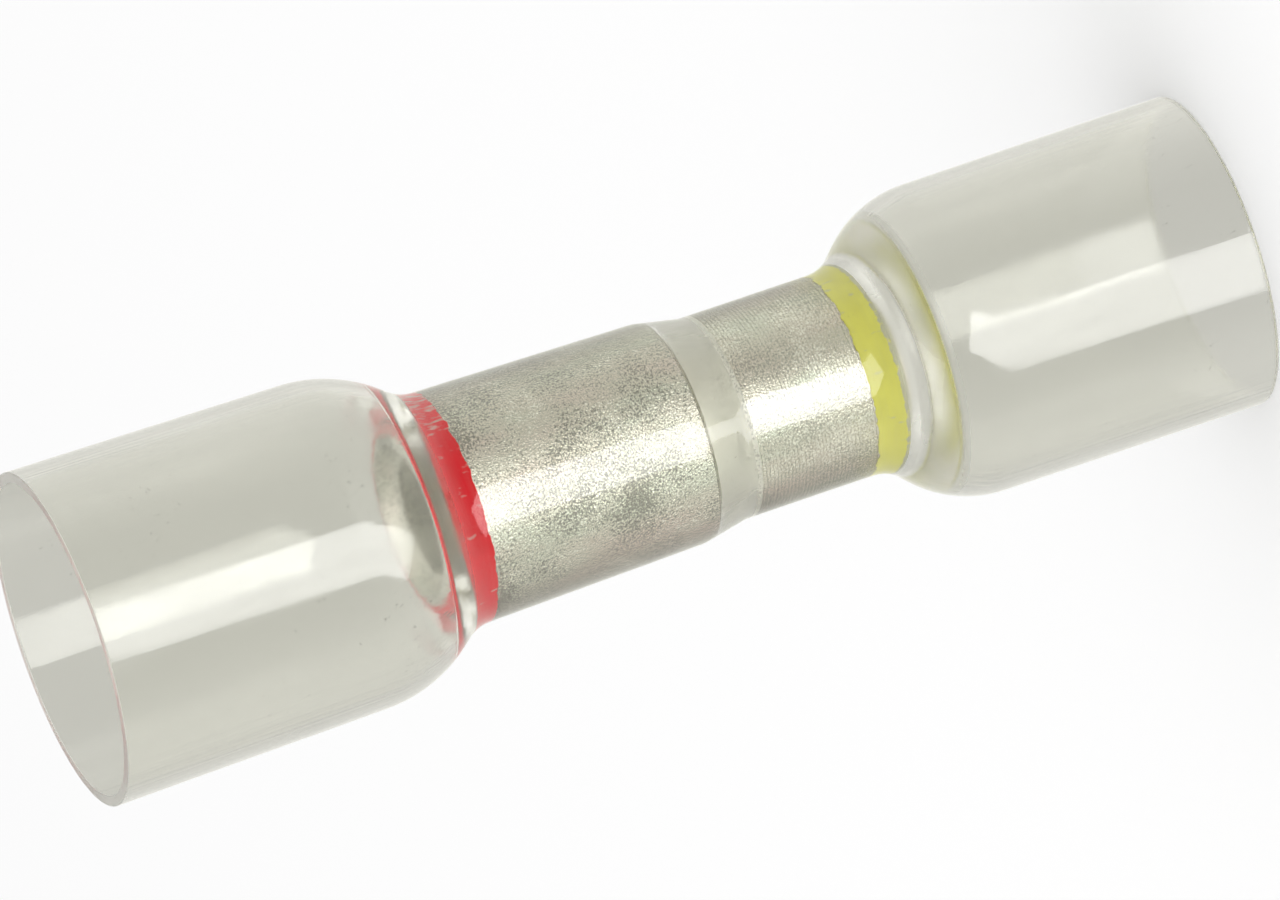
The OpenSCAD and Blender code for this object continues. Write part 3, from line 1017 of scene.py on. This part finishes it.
class SPLICE_OT_stage(bpy.types.Operator):
    """Set up the floor, the lamps, the even light of the room and the camera"""

    bl_idname = "splice.stage"
    bl_label = "Stage"

    def execute(self, context):
        stage = context.scene.splice_stage
        middle = Vector((0.0, 0.0, (SLEEVE_LOW.z + SLEEVE_HIGH.z) / 2))
        self.floor(stage)
        self.room(context.scene, stage)
        self.softbox(stage, middle)
        self.top_lamp(stage)
        self.camera(context.scene, stage, middle)
        self.bounces(context.scene, stage)
        context.scene.view_settings.view_transform = "Standard"
        return {"FINISHED"}

    def bounces(self, scene, stage):
        """Lets light run along inside the sleeve's wall, so that its cut edges stay light."""
        for limit in ("max_bounces", "glossy_bounces", "transmission_bounces"):
            setattr(scene.cycles, limit, stage.bounces)

    def floor(self, stage):
        """A pale floor that catches the part's shadow. Clear plastic and metal show the room
        in its place."""
        half = stage.floor_size / 2
        mesh = bpy.data.meshes.new("floor")
        mesh.from_pydata(
            [(-half, -half, 0), (half, -half, 0), (half, half, 0), (-half, half, 0)], [], [(0, 1, 2, 3)]
        )
        floor = placed("floor", mesh)
        material, paint, surface = new_material("floor_paint")
        paint.put(rgb(stage.floor_colour), surface["Base Color"])
        paint.put(FLOOR_ROUGHNESS, surface["Roughness"])
        paint.put(0.0, surface["Specular IOR Level"])
        mesh.materials.append(material)
        floor.visible_glossy = False
        floor.visible_transmission = False
        floor.visible_shadow = False

    def room(self, scene, stage):
        """Even light from all round, which the camera sees as white. Gloss and clear plastic
        show a warm room that is dim behind the camera and bright on both sides."""
        world = bpy.data.worlds.new("room")
        world.use_nodes = True
        scene.world = world
        paint = Painter(world.node_tree)
        background = next(n for n in paint.nodes if n.type == "BACKGROUND")
        x, y, _ = paint.axes(paint.add("ShaderNodeTexCoord").outputs["Generated"])
        forward = paint.calc("SUBTRACT", paint.times(x, stage.side_lean), y)
        mirrored, through = (
            paint.spread(forward, *SIDE_TO_FAR, paint.spread(forward, *FRONT_TO_SIDE, front, side), far)
            for front, side, far in (stage.gloss_levels, stage.clear_levels)
        )
        ray = paint.add("ShaderNodeLightPath")
        mirror = paint.calc("MAXIMUM", ray.outputs["Is Glossy Ray"], ray.outputs["Is Transmission Ray"])
        white = (1.0, 1.0, 1.0, 1.0)
        paint.put(paint.blend(mirror, white, rgb(stage.room_tint)), background.inputs["Color"])
        strength = stage.room_light
        for kind, level in (("Camera", 1.0), ("Glossy", mirrored), ("Transmission", through)):
            strength = paint.spread(ray.outputs[f"Is {kind} Ray"], 0.0, 1.0, strength, level)
        paint.put(strength, background.inputs["Strength"])

    def lamp(self, name, place, target, width, height, radiance):
        """A flat lamp of a given brightness that faces a target."""
        light = bpy.data.lights.new(name, "AREA")
        light.shape = "RECTANGLE"
        light.size = width
        light.size_y = height
        light.energy = radiance * math.pi * width * height
        lamp = placed(name, light)
        lamp.location = place
        lamp.rotation_euler = (target - place).to_track_quat("-Z", "Y").to_euler()
        lamp.visible_camera = False
        return lamp

    def softbox(self, stage, middle):
        """The softbox whose long reflection runs along the part's front."""
        turn, tilt = stage.softbox_turn, stage.camera_tilt
        direction = Vector((
            -math.sin(turn) * math.cos(tilt), -math.cos(turn) * math.cos(tilt), -math.sin(tilt)
        ))
        place = middle + direction * stage.softbox_distance
        softbox = self.lamp("softbox", place, middle, stage.softbox_width, stage.softbox_height,
                            stage.softbox_radiance)
        softbox.rotation_euler.rotate_axis("Z", stage.softbox_roll)

    def top_lamp(self, stage):
        """A wide lamp overhead, for the shadow on the floor."""
        self.lamp("top_lamp", Vector(TOP_LAMP_PLACE), Vector((0, 0, 0)), TOP_LAMP_WIDTH,
                  TOP_LAMP_WIDTH, stage.top_radiance)

    def camera(self, scene, stage, middle):
        """A long lens, level with the photograph: the red mouth is low on the left."""
        tilt, slant = stage.camera_tilt, stage.axis_slant
        back = Vector((0.0, -math.cos(tilt), math.sin(tilt)))
        rise = Vector((0.0, math.sin(tilt), math.cos(tilt)))
        side = Vector((1.0, 0.0, 0.0))
        right = -math.cos(slant) * rise - math.sin(slant) * side
        up = -math.sin(slant) * rise + math.cos(slant) * side
        turned = Matrix((right, up, back)).transposed()
        data = bpy.data.cameras.new("camera")
        data.lens = stage.lens
        data.clip_start = CLIP_START
        camera = placed("camera", data)
        aim = middle + right * stage.aim_across - up * stage.aim_down
        camera.matrix_world = Matrix.Translation(aim + back * stage.camera_distance) @ turned.to_4x4()
        scene.camera = camera


OPERATORS = (SPLICE_OT_barrel, SPLICE_OT_ink_rings, SPLICE_OT_sleeve, SPLICE_OT_stage)


class SPLICE_PT_panel(bpy.types.Panel):
    """Lists the pieces of the connector and their settings"""

    bl_idname = "SPLICE_PT_panel"
    bl_label = "Butt splice connector"
    bl_space_type = "VIEW_3D"
    bl_region_type = "UI"
    bl_category = "Splice"

    def draw(self, context):
        for operator in OPERATORS:
            self.layout.operator(operator.bl_idname)
        for name in SETTINGS:
            box = self.layout.box()
            settings = getattr(context.scene, name)
            for key in settings.bl_rna.properties.keys():
                if key not in ("rna_type", "name"):
                    box.prop(settings, key)


def register():
    for name, group in SETTINGS.items():
        bpy.utils.register_class(group)
        setattr(bpy.types.Scene, name, bpy.props.PointerProperty(type=group))
    for kind in (*OPERATORS, SPLICE_PT_panel):
        bpy.utils.register_class(kind)


def unregister():
    for kind in (SPLICE_PT_panel, *reversed(OPERATORS)):
        bpy.utils.unregister_class(kind)
    for name, group in SETTINGS.items():
        delattr(bpy.types.Scene, name)
        bpy.utils.unregister_class(group)


def main():
    register()
    bpy.ops.splice.barrel()
    bpy.ops.splice.ink_rings()
    bpy.ops.splice.sleeve()
    bpy.ops.splice.stage()


if __name__ == "__main__":
    main()
